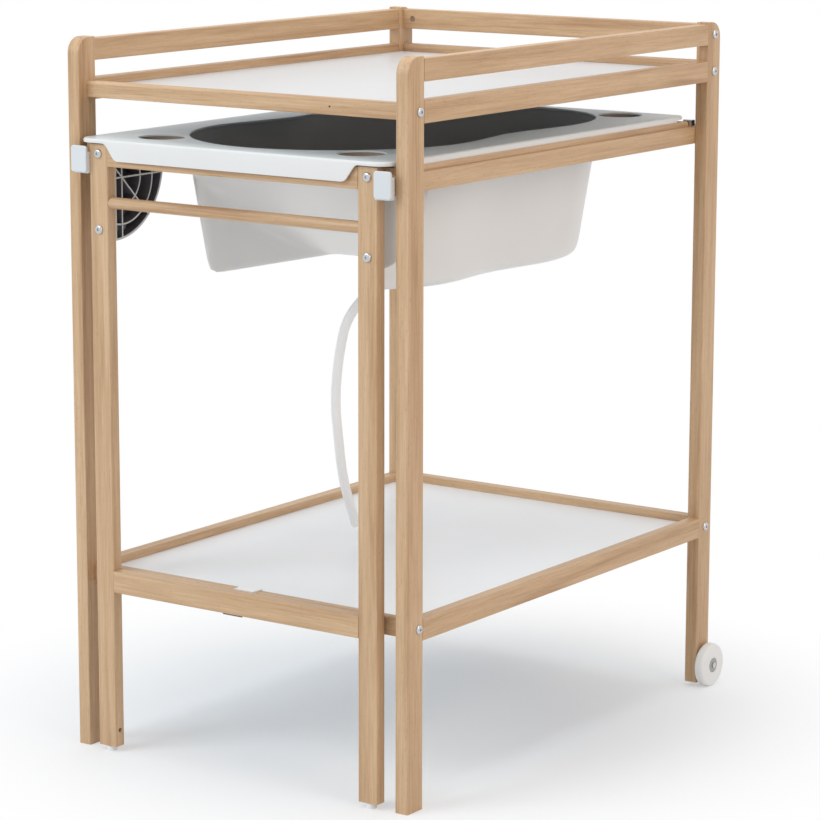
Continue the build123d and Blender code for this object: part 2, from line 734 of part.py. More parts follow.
# Corner brackets: quarter discs behind the legs, ribbed on the side that faces the tub
bracket_x = (leg_inner + bracket_inset, leg_outer - bracket_inset)
bracket_top = runner_bottom
bracket_inner_arc = bracket_radius - bracket_inner_gap
bracket_outer_arc = bracket_radius - bracket_outer_gap
bracket_centre = (leg_y[1] + bracket_rib_y, bracket_top - bracket_rib_z)
pocket_corner = (leg_y[1] + bracket_wall, bracket_top - bracket_wall)
for side_name, side in sides.items():
    inner_plane = Plane.YZ.offset(side * bracket_x[0])
    with BuildPart() as bracket:
        with BuildSketch(inner_plane):
            with BuildLine():
                half_way = bracket_radius / sqrt(2)
                corner = (leg_y[1], bracket_top)
                low_point = (leg_y[1], bracket_top - bracket_radius)
                rear_point = (leg_y[1] + bracket_radius, bracket_top)
                Line(corner, low_point)
                ThreePointArc(low_point, (leg_y[1] + half_way, bracket_top - half_way), rear_point)
                Line(rear_point, corner)
            make_face()
        extrude(amount=side * (bracket_x[1] - bracket_x[0]))
        outer_face = bracket.faces().filter_by(Axis.X).sort_by(Axis.X)[-1 if side > 0 else 0]
        fillet(outer_face.edges().filter_by(GeomType.CIRCLE), radius=bracket_round)
        with BuildSketch(inner_plane):
            with Locations((leg_y[1], bracket_top)):
                Circle(bracket_radius - bracket_wall)
            with Locations(bracket_centre):
                Circle(bracket_outer_arc + bracket_rib, mode=Mode.SUBTRACT)
                Circle(bracket_outer_arc)
                Circle(bracket_inner_arc + bracket_rib / 2, mode=Mode.SUBTRACT)
                Circle(bracket_inner_arc - bracket_rib / 2)
            with Locations(pocket_corner):
                Rectangle(bracket_radius, bracket_radius, align=(Align.MIN, Align.MAX), mode=Mode.INTERSECT)
            with Locations(bracket_centre):
                Rectangle(bracket_rib, bracket_radius * 2, mode=Mode.SUBTRACT)
                Rectangle(bracket_radius * 2, bracket_rib, mode=Mode.SUBTRACT)
                Rectangle(bracket_radius * 2, bracket_rib, rotation=-45, mode=Mode.SUBTRACT)
        extrude(amount=side * bracket_depth, mode=Mode.SUBTRACT)
        bolt_end = leg_y[0] + bolt_length + overrun
        rod_y(side * leg_middle, (leg_y[1], bolt_end), lower_leg_bolt, bracket_boss_radius)
        hole_end = bolt_end - bracket_wall
        hole_radius = bolt_radius + fit_clearance
        rod_y(side * leg_middle, (leg_y[1], hole_end), lower_leg_bolt, hole_radius, mode=Mode.SUBTRACT)
    save(bracket, f"corner_bracket_{side_name}")

# Tub: the bowl's inner outline is given at the rim and drawn in at each level below it
rim_half_width = post_inner - rim_side_gap
rim_back = runner_y[1] - rim_back_inset
rim_length = rim_back - rim_front
rim_top = runner_top + rim_skirt_height
bowl_front = rim_front + bowl_front_gap
bowl_floor = rim_top - bowl_depth
bowl_length = rim_length - bowl_front_gap - bowl_back_gap
bowl_front_half = runner_inner - bowl_side_gap
bowl_waist_half = bowl_front_half - bowl_waist_draw
bowl_rear_half = bowl_front_half - bowl_rear_draw
ramp_half_width = bowl_waist_half - lobe_width
front_corner_share = (0.69, 0.088)
rear_corner_share = (0.74, 0.926)
front_share = 0.288
waist_share = 0.51
rear_share = 0.74
bowl_levels = [
    (rim_top, 0),
    (bowl_floor + bowl_knee, bowl_draft),
    (bowl_floor + bowl_toe, bowl_draft + bowl_toe_draft),
    (bowl_floor, bowl_draft + bowl_toe_draft + bowl_bottom_draft),
]


def bowl_outline(height, inset):
    """The bowl's closed outline at a height, drawn in by an inset."""
    front = bowl_front + inset
    length = bowl_length - inset * 2
    right = [
        ((bowl_front_half - inset) * front_corner_share[0], front + length * front_corner_share[1]),
        (bowl_front_half - inset, front + length * front_share),
        (bowl_waist_half - inset, front + length * waist_share),
        (bowl_rear_half - inset, front + length * rear_share),
        ((bowl_rear_half - inset) * rear_corner_share[0], front + length * rear_corner_share[1]),
    ]
    left = [(-x, y) for x, y in reversed(right)]
    with BuildSketch(Plane.XY.offset(height)) as outline:
        with BuildLine():
            Spline((0, front), *right, (0, front + length), *left, periodic=True)
        make_face()
    return outline.sketch


def bowl_body(wall):
    """The bowl's hollow as one block, or its outside when a wall is given."""
    with BuildPart() as body:
        heights = [height - wall if height == bowl_floor else height for height, inset in bowl_levels]
        insets = [inset - wall for height, inset in bowl_levels]
        loft([bowl_outline(height, inset) for height, inset in zip(heights, insets)], ruled=True)
    return body.part


def ramp_block(wall):
    """The block under the backrest's ramp, widened and raised by a wall."""
    knee = (bowl_front + ramp_knee_y, bowl_floor - bowl_wall + ramp_knee_rise + wall)
    bend = (bowl_front + ramp_bend_y, bowl_floor - bowl_wall + ramp_bend_rise + wall)
    end = (bowl_front + ramp_end, bowl_floor - bowl_wall + wall)
    front = bowl_front - bowl_wall - overrun
    low = bowl_floor - bowl_wall - overrun
    half = ramp_half_width + wall
    with BuildPart() as block:
        with BuildSketch(Plane.YZ.offset(-half)):
            with BuildLine():
                top = (front, knee[1] + ramp_slope_share * (knee[0] - front))
                Line(top, knee)
                ThreePointArc(knee, bend, end)
                Polyline(end, (end[0], low), (front, low), top)
            make_face()
        extrude(amount=half * 2)
    return block.part


def rim_block(top, bottom, inset):
    """The rim's rounded block between two heights, drawn in by an inset."""
    with BuildPart() as block:
        with BuildSketch(Plane.XY.offset(bottom)):
            with Locations((0, rim_front + rim_length / 2)):
                sheet = Rectangle((rim_half_width - inset) * 2, rim_length - inset * 2)
            fillet(sheet.vertices().group_by(Axis.Y)[0], radius=rim_corner - inset)
            fillet(sheet.vertices().group_by(Axis.Y)[-1], radius=rim_back_corner - inset)
        extrude(amount=top - bottom)
    return block.part


# Tub: places of the dishes, the notch, the slot and the drain
front_dish_x = rim_half_width - front_dish_inset
rear_dish_x = rim_half_width - rear_dish_inset
rear_dish_middle = rim_back - rear_dish_y
dish_places = [
    (-front_dish_x, rim_front + front_dish_y),
    (front_dish_x, rim_front + front_dish_y),
    (-rear_dish_x, rear_dish_middle),
    (rear_dish_x, rear_dish_middle),
]
notch_place = Location((front_dish_x, rim_front + front_dish_y, rim_top), (0, 0, 180 - notch_turn))
slot_place = (tray_slot_inset - rim_half_width, bowl_front + bowl_length * waist_share)
drain_y = bowl_front + ramp_end + drain_from_ramp
lip_half_width = rim_half_width - rim_corner
apron_half_width = leg_inner - apron_side_gap

# Tub: the hollow of the bowl above its ramp
with BuildPart() as bowl_hollow:
    add(bowl_body(0))
    add(ramp_block(bowl_wall), mode=Mode.SUBTRACT)

# Tub: rim with its skirt and apron, dishes, bowl and drain hole in one shell
with BuildPart() as tub:
    add(rim_block(rim_top, runner_top, 0))
    fillet(tub.edges().group_by(Axis.Z)[-1], radius=rim_round)
    add(rim_block(rim_top - rim_wall, runner_top, rim_wall), mode=Mode.SUBTRACT)
    lip_z = (runner_top, rim_top - rim_lip)
    lip_y = (rim_front, rim_front + rim_corner)
    bar((-rim_half_width, rim_half_width), lip_y, lip_z, mode=Mode.SUBTRACT)
    for side in sides.values():
        notch_x = across(side, rim_half_width - rim_wall, rim_half_width)
        bar(notch_x, (rim_back - rim_back_notch, rim_back), lip_z, mode=Mode.SUBTRACT)
    with BuildSketch(Plane.XZ.offset(-rim_front)) as front:
        with Locations((0, rim_top - rim_wall)):
            Rectangle(lip_half_width * 2, rim_lip - rim_wall, align=(Align.CENTER, Align.MAX))
        with BuildLine():
            apron_top = rim_top - rim_lip
            apron_low = rim_top - apron_drop
            apron_foot = apron_half_width - apron_slant
            Polyline(
                (-apron_half_width, apron_top),
                (-apron_foot, apron_low),
                (apron_foot, apron_low),
                (apron_half_width, apron_top),
                close=True,
            )
        make_face()
        fillet(front.vertices().group_by(Axis.Y)[1].sort_by(Axis.X)[1:-1], radius=apron_shoulder)
        fillet(front.vertices().group_by(Axis.Y)[0], radius=apron_corner)
    extrude(amount=-rim_wall)
    for x, y in dish_places:
        rod_z(x, y, (rim_top - dish_depth - dish_wall, rim_top), dish_radius + dish_wall)
    with Locations(notch_place):
        notch_align = (Align.MIN, Align.CENTER, Align.MAX)
        Box(notch_length, notch_width + dish_wall * 2, notch_depth + dish_wall, align=notch_align)
    with BuildSketch(Plane.XY.offset(rim_top)):
        with Locations(slot_place):
            SlotOverall(tray_slot_length + dish_wall * 2, tray_slot_width + dish_wall * 2, rotation=90)
    extrude(amount=-(tray_slot_depth + dish_wall))
    add(bowl_body(bowl_wall))
    add(ramp_block(0), mode=Mode.SUBTRACT)
    add(bowl_hollow.part, mode=Mode.SUBTRACT)
    for x, y in dish_places:
        rod_z(x, y, (rim_top - dish_depth, rim_top + overrun), dish_radius, mode=Mode.SUBTRACT)
    with Locations(notch_place):
        Box(notch_length, notch_width, notch_depth, align=notch_align, mode=Mode.SUBTRACT)
    with BuildSketch(Plane.XY.offset(rim_top)):
        with Locations(slot_place):
            SlotOverall(tray_slot_length, tray_slot_width, rotation=90)
    extrude(amount=-tray_slot_depth, mode=Mode.SUBTRACT)
    rod_z(0, drain_y, about(bowl_floor, overrun * 2), drain_hole_radius, mode=Mode.SUBTRACT)
save(tub, "tub")

# Drain fitting: a flange on the floor of the bowl, its tube through the hole and an elbow below
bowl_under = bowl_floor - bowl_wall
elbow_z = (bowl_under - drain_cup_height, bowl_under)
tube_end = bowl_under - drain_tube_depth
outlet_z = bowl_under - spigot_drop
outlet_y = drain_y - spigot_reach
with BuildPart() as drain_flange_piece:
    rod_z(0, drain_y, (bowl_floor, bowl_floor + drain_flange), drain_flange_radius)
    rod_z(0, drain_y, (tube_end, bowl_floor), drain_hole_radius - drain_clearance)
    bore_z = (tube_end, bowl_floor + drain_flange)
    rod_z(0, drain_y, bore_z, drain_bore_radius, mode=Mode.SUBTRACT)
save(drain_flange_piece, "drain_flange")
with BuildPart() as drain_elbow:
    rod_z(0, drain_y, elbow_z, drain_cup_radius)
    rod_y(0, (outlet_y, drain_y), outlet_z, hose_radius)
    rod_z(0, drain_y, (tube_end, elbow_z[1]), drain_hole_radius, mode=Mode.SUBTRACT)
    well_z = (elbow_z[0] + drain_cup_floor, tube_end)
    rod_z(0, drain_y, well_z, drain_bore_radius, mode=Mode.SUBTRACT)
    rod_y(0, (outlet_y, drain_y), outlet_z, hose_bore, mode=Mode.SUBTRACT)
save(drain_elbow, "drain_elbow")

# Drain plug: its shank in the flange, a cap on top and a knob to lift it by
flange_top = bowl_floor + drain_flange
cap_top = flange_top + plug_cap_height
with BuildPart() as drain_plug:
    rod_z(0, drain_y, (flange_top - plug_depth, flange_top), plug_radius)
    rod_z(0, drain_y, (flange_top, cap_top), plug_cap_radius)
    rod_z(0, drain_y, (cap_top, cap_top + plug_knob_height), plug_knob_radius)
    top_edge = drain_plug.edges().group_by(Axis.Z)[-1]
    fillet(top_edge, radius=plug_knob_round)
save(drain_plug, "drain_plug")

# Drain hose: a limp tube from the elbow's outlet, each bend as wide as its shorter run allows
hose_points = [Vector(x, outlet_y + y, outlet_z + z) for x, y, z in hose_steps]
hose_runs = [after - before for before, after in zip(hose_points, hose_points[1:])]
hose_bends = []
for before, after in zip(hose_runs, hose_runs[1:]):
    half_turn = tan(radians(before.get_angle(after)) / 2)
    hose_bends.append(hose_bend_share * min(before.length, after.length) / half_turn)
with BuildPart() as drain_hose:
    with BuildLine() as hose_line:
        hose_path = FilletPolyline(*hose_points, radius=hose_bends)
    with BuildSketch(Plane(hose_path @ 0, z_dir=hose_path % 0)):
        Circle(hose_radius)
        Circle(hose_bore, mode=Mode.SUBTRACT)
    sweep(path=hose_path, transition=Transition.ROUND)
save(drain_hose, "drain_hose")
hose_section = pi * (hose_radius**2 - hose_bore**2)
print("hose bend radii", [round(radius, 1) for radius in hose_bends])
print("hose volume over section times length", drain_hose.part.volume / (hose_section * hose_path.length))
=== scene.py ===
import math

import bmesh
import bpy
import numpy as np
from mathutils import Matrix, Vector


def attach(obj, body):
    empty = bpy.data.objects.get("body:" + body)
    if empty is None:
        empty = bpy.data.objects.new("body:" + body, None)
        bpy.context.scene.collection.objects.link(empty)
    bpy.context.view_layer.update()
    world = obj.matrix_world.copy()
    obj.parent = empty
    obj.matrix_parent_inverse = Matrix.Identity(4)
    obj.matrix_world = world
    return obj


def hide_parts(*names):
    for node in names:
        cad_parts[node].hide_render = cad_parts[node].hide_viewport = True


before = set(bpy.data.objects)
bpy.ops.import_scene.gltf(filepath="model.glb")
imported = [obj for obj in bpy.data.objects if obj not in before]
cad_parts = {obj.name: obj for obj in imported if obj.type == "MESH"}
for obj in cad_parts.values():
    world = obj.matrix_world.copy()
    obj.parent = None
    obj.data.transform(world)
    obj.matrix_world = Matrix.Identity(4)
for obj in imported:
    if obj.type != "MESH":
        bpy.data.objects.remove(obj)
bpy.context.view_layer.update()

# View: a long lens at chest height, at the front right of the table.
# The focal length is given in pixels of a picture 820 wide, and the turns in degrees.
sensor_width = 36.0
focal_pixels, picture_pixels = 3211, 820
look_down, lean, turned = 11.02, -0.11, 35.114
scene = bpy.context.scene
scene.view_settings.view_transform = "Standard"
camera = bpy.data.objects.new("camera", bpy.data.cameras.new("camera"))
scene.collection.objects.link(camera)
camera.data.sensor_width = sensor_width
camera.data.lens = sensor_width * focal_pixels / picture_pixels
camera.data.clip_end = 60.0
camera.location = (2.6244, -3.7224, 1.3384)
camera.rotation_euler = (math.radians(90 - look_down), math.radians(lean), math.radians(turned))
scene.camera = camera


def lamp(name, place, target, size, power, colour):
    """Adds a square soft lamp that points from its place to a target."""
    data = bpy.data.lights.new(name, "AREA")
    data.size = size
    data.energy = power
    data.color = colour
    item = bpy.data.objects.new(name, data)
    scene.collection.objects.link(item)
    item.location = place
    item.rotation_euler = (Vector(target) - Vector(place)).to_track_quat("-Z", "Y").to_euler()


# Lamps: a cool soft box at the front left, a warm one at the right and one overhead.
lamp("key_lamp", (-1.8, -3.6, 2.9), (0, 0, 0.6), size=2.6, power=80, colour=(0.91, 0.98, 1.03))
lamp("side_lamp", (3.6, -0.6, 2.4), (0, 0, 0.6), size=2.4, power=34, colour=(1.0, 0.77, 0.60))
lamp("top_lamp", (0.0, 0.2, 3.8), (0, 0, 0.5), size=2.2, power=36, colour=(0.98, 0.99, 1.0))


def put(tree, kind, settings=None, sockets=None):
    """Adds a node to a tree with its settings, and with its sockets given as values or links."""
    node = tree.nodes.new(kind)
    for key, value in (settings or {}).items():
        setattr(node, key, value)
    for key, value in (sockets or {}).items():
        if isinstance(value, bpy.types.NodeSocket):
            tree.links.new(value, node.inputs[key])
        else:
            node.inputs[key].default_value = value
    return node


def calculate(tree, operation, first, second, third=None):
    """One math node's value."""
    sockets = {0: first, 1: second}
    if third is not None:
        sockets[2] = third
    return put(tree, "ShaderNodeMath", {"operation": operation}, sockets).outputs[0]


# Room: white to the eye and in reflections, and weaker as light on the table.
room_tint, room_strength = (0.96, 0.98, 1.0, 1), 0.58
white = (1, 1, 1, 1)
world = bpy.data.worlds.new("studio")
scene.world = world
world.use_nodes = True
room_tree = world.node_tree
room_tree.nodes.clear()
room_rays = put(room_tree, "ShaderNodeLightPath").outputs
seen = calculate(room_tree, "MAXIMUM", room_rays["Is Camera Ray"], room_rays["Is Transmission Ray"])
seen = calculate(room_tree, "MAXIMUM", seen, room_rays["Is Glossy Ray"])
room_light = put(room_tree, "ShaderNodeBackground", None, {0: room_tint, 1: room_strength})
room_white = put(room_tree, "ShaderNodeBackground", None, {0: white, 1: 1.0})
room_sockets = {0: seen, 1: room_light.outputs[0], 2: room_white.outputs[0]}
room_mix = put(room_tree, "ShaderNodeMixShader", None, room_sockets)
put(room_tree, "ShaderNodeOutputWorld", None, {0: room_mix.outputs[0]})


def new_material(name):
    """A material whose node tree holds only its surface shader and its output."""
    material = bpy.data.materials.new(name)
    material.use_nodes = True
    tree = material.node_tree
    tree.nodes.clear()
    shader = put(tree, "ShaderNodeBsdfPrincipled")
    put(tree, "ShaderNodeOutputMaterial", None, {0: shader.outputs[0]})
    return material, tree, shader


def measure(tree, operation, first, second=None):
    """One vector math node."""
    sockets = {0: first} if second is None else {0: first, 1: second}
    return put(tree, "ShaderNodeVectorMath", {"operation": operation}, sockets)


def reach(tree, value, low, high):
    """A smooth step of a value from 0 at low to 1 at high."""
    sockets = {"Value": value, "From Min": low, "From Max": high}
    return put(tree, "ShaderNodeMapRange", {"interpolation_type": "SMOOTHSTEP"}, sockets).outputs[0]


# Floor: a large pale sheet of paper that keeps the table's shadow.
# It turns to plain white between two distances from the middle.
floor_size = 30
floor_colour = (0.90, 0.925, 0.945, 1)
fade_from, fade_to = 0.20, 0.80
bpy.ops.mesh.primitive_plane_add(size=floor_size, location=(0, 0, 0))
floor = bpy.context.object
floor.name = "studio_floor"
floor_material, floor_tree, floor_shader = new_material("floor_sheet")
floor_shader.inputs["Base Color"].default_value = floor_colour
floor_shader.inputs["Roughness"].default_value = 0.9
floor_shader.inputs["Specular IOR Level"].default_value = 0.1
floor_rays = put(floor_tree, "ShaderNodeLightPath").outputs
floor_place = put(floor_tree, "ShaderNodeTexCoord").outputs["Object"]
floor_far = measure(floor_tree, "LENGTH", floor_place).outputs["Value"]
floor_fade = reach(floor_tree, floor_far, fade_from, fade_to)
floor_seen = calculate(floor_tree, "MAXIMUM", floor_rays["Is Camera Ray"], floor_rays["Is Glossy Ray"])
floor_seen = calculate(floor_tree, "MAXIMUM", floor_seen, floor_rays["Is Transmission Ray"])
floor_share = calculate(floor_tree, "MULTIPLY", floor_seen, floor_fade)
floor_white = put(floor_tree, "ShaderNodeEmission", None, {0: white, 1: 1.0})
floor_sockets = {0: floor_share, 1: floor_shader.outputs[0], 2: floor_white.outputs[0]}
floor_mix = put(floor_tree, "ShaderNodeMixShader", None, floor_sockets)
floor_output = [node for node in floor_tree.nodes if node.type == "OUTPUT_MATERIAL"][0]
floor_tree.links.new(floor_mix.outputs[0], floor_output.inputs[0])
floor.data.materials.append(floor_material)


def new_group(name, inputs, outputs):
    """An empty shader node group with the sockets that are named, and its input and output nodes."""
    group = bpy.data.node_groups.new(name, "ShaderNodeTree")
    for label, kind, value in inputs:
        socket = group.interface.new_socket(name=label, in_out="INPUT", socket_type=kind)
        if value is not None:
            socket.default_value = value
    for label, kind in outputs:
        group.interface.new_socket(name=label, in_out="OUTPUT", socket_type=kind)
    return group, group.nodes.new("NodeGroupInput"), group.nodes.new("NodeGroupOutput")


def noise(tree, vector, scale, detail=2.0, roughness=0.5, distortion=0.0):
    """A noise texture's value at a scale."""
    sockets = {"Vector": vector, "Scale": scale, "Detail": detail, "Roughness": roughness}
    sockets["Distortion"] = distortion
    return put(tree, "ShaderNodeTexNoise", None, sockets).outputs["Fac"]


def stretch(tree, vector, length):
    """A pattern's coordinates scaled along Z, so that its marks run long."""
    sockets = {"Vector": vector, "Scale": (1, 1, length)}
    return put(tree, "ShaderNodeMapping", None, sockets).outputs[0]


def ramp(tree, value, stops):
    """A colour ramp over a value, its stops given as (place, colour), the ends first."""
    node = put(tree, "ShaderNodeValToRGB", None, {0: value})
    elements = node.color_ramp.elements
    for index, (place, colour) in enumerate(stops):
        element = elements[index] if index < 2 else elements.new(place)
        element.position = place
        element.color = (*colour, 1)
    return node.outputs[0]


def blend_colour(tree, factor, first, second, kind="MIX"):
    """Two colours mixed by a factor."""
    settings = {"data_type": "RGBA", "blend_type": kind}
    return put(tree, "ShaderNodeMix", settings, {0: factor, 6: first, 7: second}).outputs[2]


def grey(tree, value):
    """A grey from a value."""
    return put(tree, "ShaderNodeCombineColor", None, {0: value, 1: value, 2: value}).outputs[0]


# Timber of the table: steamed beech, straight-grained, planed, sanded and thinly varnished.
# The group draws the broad figure, the fine lines, the hair lines and the short dark flecks.
# Its grain runs along Z, and each material turns it along its own bars.
fleck_colour = (0.30, 0.165, 0.085, 1)
fleck_strength = 0.34
grain, grain_in, grain_out = new_group(
    "beech_grain",
    [("Vector", "NodeSocketVector", None)],
    [("Color", "NodeSocketColor"), ("Roughness", "NodeSocketFloat"), ("Height", "NodeSocketFloat")],
)
along = grain_in.outputs["Vector"]
broad = noise(grain, stretch(grain, along, 0.045), 62, detail=3, roughness=0.55, distortion=0.35)
fine = noise(grain, stretch(grain, along, 0.028), 330, detail=3, roughness=0.6, distortion=0.2)
hair = noise(grain, stretch(grain, along, 0.02), 1250, detail=2, roughness=0.6)
tone = noise(grain, stretch(grain, along, 0.35), 6.5, detail=1)
broad_share = calculate(grain, "MULTIPLY", broad, 0.62)
fine_share = calculate(grain, "MULTIPLY", fine, 0.38)
tone_share = calculate(grain, "MULTIPLY_ADD", tone, 0.22, -0.11)
figure = calculate(grain, "ADD", calculate(grain, "ADD", broad_share, fine_share), tone_share)
wood_colour = ramp(
    grain,
    figure,
    [
        (0.33, (0.437, 0.252, 0.131)),
        (0.68, (0.665, 0.465, 0.284)),
        (0.46, (0.543, 0.350, 0.195)),
        (0.55, (0.602, 0.402, 0.234)),
    ],
)
fleck_noise = noise(grain, stretch(grain, along, 0.13), 820, detail=1)
fleck = ramp(grain, fleck_noise, [(0.665, (0, 0, 0)), (0.71, (1, 1, 1))])
fleck = calculate(grain, "MULTIPLY", fleck, fleck_strength)
wood_colour = blend_colour(grain, fleck, wood_colour, fleck_colour)
hairline = calculate(grain, "MULTIPLY_ADD", hair, 0.46, 0.77)
wood_colour = blend_colour(grain, 1.0, wood_colour, grey(grain, hairline), "MULTIPLY")
wood_gloss = calculate(grain, "MULTIPLY_ADD", fine, 0.22, 0.34)
hair_height = calculate(grain, "SUBTRACT", calculate(grain, "MULTIPLY", hair, 0.6), fleck)
wood_height = calculate(grain, "ADD", hair_height, calculate(grain, "MULTIPLY", fine, 0.5))
grain.links.new(wood_colour, grain_out.inputs["Color"])
grain.links.new(wood_gloss, grain_out.inputs["Roughness"])
grain.links.new(wood_height, grain_out.inputs["Height"])


def beech(name, rotation, offset):
    """Beech whose grain is turned by a rotation and taken from its own part of the log."""
    material, tree, shader = new_material(name)
    place = put(tree, "ShaderNodeTexCoord").outputs["Object"]
    sockets = {"Vector": place, "Rotation": rotation, "Location": offset}
    turned_place = put(tree, "ShaderNodeMapping", None, sockets).outputs[0]
    wood = put(tree, "ShaderNodeGroup", {"node_tree": grain}, {"Vector": turned_place})
    tree.links.new(wood.outputs["Color"], shader.inputs["Base Color"])
    tree.links.new(wood.outputs["Roughness"], shader.inputs["Roughness"])
    relief = {"Height": wood.outputs["Height"], "Strength": 0.22, "Distance": 0.0004}
    tree.links.new(put(tree, "ShaderNodeBump", None, relief).outputs[0], shader.inputs["Normal"])
    shader.inputs["Specular IOR Level"].default_value = 0.38
    shader.inputs["Coat Weight"].default_value = 0.12
    shader.inputs["Coat Roughness"].default_value = 0.32
    return material


def dress(material, *names):
    """Gives CAD nodes a material."""
    for name in names:
        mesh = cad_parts[name].data
        mesh.materials.clear()
        mesh.materials.append(material)


# Posts of 20 by 35 mm and legs of 30.5 by 18 mm: beech bars with rounded edges.
# They carry everything else, and their grain runs upright.
quarter_turn = math.radians(90)
beech_upright = beech("beech_upright", (0, 0, 0), (0.4, 0.1, 0))
dress(beech_upright, "post_front_left", "post_front_right", "post_rear_left", "post_rear_right")
dress(beech_upright, "bath_leg_left", "bath_leg_right")

# Side rails of 18 by 30 mm, dowelled between the posts, with the slide rails and the runners.
# All are of beech, and their grain runs from the front to the back, like that of the dowels.
beech_depth = beech("beech_depth", (quarter_turn, 0, 0), (0.1, 0.5, 0.2))
for rail_name in ("upper", "tray", "shelf"):
    dress(beech_depth, f"{rail_name}_rail_left", f"{rail_name}_rail_right")
dress(beech_depth, "slide_rail_left", "slide_rail_right", "runner_left", "runner_right", "frame_dowels")

# Cross rails of beech between the posts and the legs, and the towel bar of 16 mm.
# Those of the bath unit are dowelled, and the others are bolted through the posts.
beech_cross = beech("beech_cross", (0, quarter_turn, 0), (0.3, 0.2, 0.6))
dress(beech_cross, "upper_rail_rear", "tray_rail_rear", "shelf_rail_rear", "tray_rail_front")
dress(beech_cross, "shelf_rail_front", "bath_rail_front", "bath_stretcher", "bath_rail_rear")
dress(beech_cross, "bath_dowels", "towel_bar")

# Plastics and coated boards: a fine moulding texture, faint mottling and slightly uneven gloss.
# The group is given a colour and a gloss, and puts out both as they vary over the surface.
moulded, moulded_in, moulded_out = new_group(
    "moulded",
    [
        ("Vector", "NodeSocketVector", None),
        ("Color", "NodeSocketColor", (0.8, 0.8, 0.8, 1)),
        ("Gloss", "NodeSocketFloat", 0.3),
    ],
    [("Color", "NodeSocketColor"), ("Roughness", "NodeSocketFloat"), ("Height", "NodeSocketFloat")],
)
surface = moulded_in.outputs["Vector"]
cloud = noise(moulded, surface, 7, detail=3, roughness=0.55)
speck = noise(moulded, surface, 1400, detail=1)
ripple = noise(moulded, surface, 130, detail=2)
shade = calculate(moulded, "MULTIPLY_ADD", cloud, 0.07, 0.965)
moulded_colour = blend_colour(moulded, 1.0, moulded_in.outputs["Color"], grey(moulded, shade), "MULTIPLY")
cloud_gloss = calculate(moulded, "MULTIPLY_ADD", cloud, 0.16, -0.08)
moulded_gloss = calculate(moulded, "ADD", cloud_gloss, moulded_in.outputs["Gloss"])
moulded.links.new(moulded_colour, moulded_out.inputs["Color"])
moulded.links.new(moulded_gloss, moulded_out.inputs["Roughness"])
moulded.links.new(calculate(moulded, "MULTIPLY_ADD", speck, 0.35, ripple), moulded_out.inputs["Height"])


def moulded_part(name, colour, gloss, bump, specular=0.42):
    """A plastic material of one colour with its moulding texture, from the group node "body"."""
    material, tree, shader = new_material(name)
    place = put(tree, "ShaderNodeTexCoord").outputs["Object"]
    sockets = {"Vector": place, "Color": (*colour, 1), "Gloss": gloss}
    body = put(tree, "ShaderNodeGroup", {"node_tree": moulded, "name": "body"}, sockets)
    tree.links.new(body.outputs["Color"], shader.inputs["Base Color"])
    tree.links.new(body.outputs["Roughness"], shader.inputs["Roughness"])
    relief = {"Height": body.outputs["Height"], "Strength": bump, "Distance": 0.0006}
    tree.links.new(put(tree, "ShaderNodeBump", None, relief).outputs[0], shader.inputs["Normal"])
    shader.inputs["Specular IOR Level"].default_value = specular
    return material


# Changing board and shelf board: 8 mm boards faced with white melamine.
# They lie loose in the grooves of the rails round them.
# The one white melamine is given two greys. Painted shade darkens the changing board, which takes the
# overhead lamp, and painted light brightens the shelf board, which lies in the changing board's shade.
dress(moulded_part("tray_melamine_shaded", (0.69, 0.695, 0.70), gloss=0.34, bump=0.05), "tray_panel")
dress(moulded_part("shelf_melamine_lit", (0.90, 0.925, 0.95), gloss=0.34, bump=0.05), "shelf_panel")

# Metals: fine drawn lines and small changes of gloss under a thin plating.
# The group is given a gloss, and puts out how it varies and how high the lines stand.
plated, plated_in, plated_out = new_group(
    "plated",
    [("Vector", "NodeSocketVector", None), ("Gloss", "NodeSocketFloat", 0.25)],
    [("Roughness", "NodeSocketFloat"), ("Height", "NodeSocketFloat")],
)
drawn = noise(plated, stretch(plated, plated_in.outputs["Vector"], 0.08), 2600, detail=2, roughness=0.6)
smear = noise(plated, plated_in.outputs["Vector"], 140, detail=2)
smear_gloss = calculate(plated, "MULTIPLY_ADD", smear, 0.22, -0.11)
plated_gloss = calculate(plated, "ADD", smear_gloss, plated_in.outputs["Gloss"])
plated.links.new(plated_gloss, plated_out.inputs["Roughness"])
plated.links.new(calculate(plated, "MULTIPLY_ADD", drawn, 0.5, smear), plated_out.inputs["Height"])


def plated_part(name, colour, gloss, metallic=1.0):
    """A metal material with its drawn lines."""
    material, tree, shader = new_material(name)
    place = put(tree, "ShaderNodeTexCoord").outputs["Object"]
    body = put(tree, "ShaderNodeGroup", {"node_tree": plated}, {"Vector": place, "Gloss": gloss})
    tree.links.new(body.outputs["Roughness"], shader.inputs["Roughness"])
    relief = {"Height": body.outputs["Height"], "Strength": 0.08, "Distance": 0.0002}
    tree.links.new(put(tree, "ShaderNodeBump", None, relief).outputs[0], shader.inputs["Normal"])
    shader.inputs["Base Color"].default_value = (*colour, 1)
    shader.inputs["Metallic"].default_value = metallic
    return material


# Bolts with domed heads of 13 mm, barrel nuts and screws: turned steel, nickel-plated.
# They go through the posts and legs into the rails and runners.
nickel = plated_part("nickel_plate", (0.56, 0.57, 0.59), gloss=0.19)
dress(nickel, "frame_bolts", "leg_bolts", "frame_nuts", "runner_nuts", "slide_rail_screws")
dress(nickel, "catch_screws", "axle_screws")

# End stops of the slide at the rear posts: folded and plated steel clips.
# Each holds a block of black rubber for a runner's end.
dress(nickel, "stop_clip_left", "stop_clip_right")
rubber = moulded_part("rubber_block", (0.018, 0.018, 0.018), gloss=0.72, bump=0.12, specular=0.3)
dress(rubber, "stop_buffer_left", "stop_buffer_right")

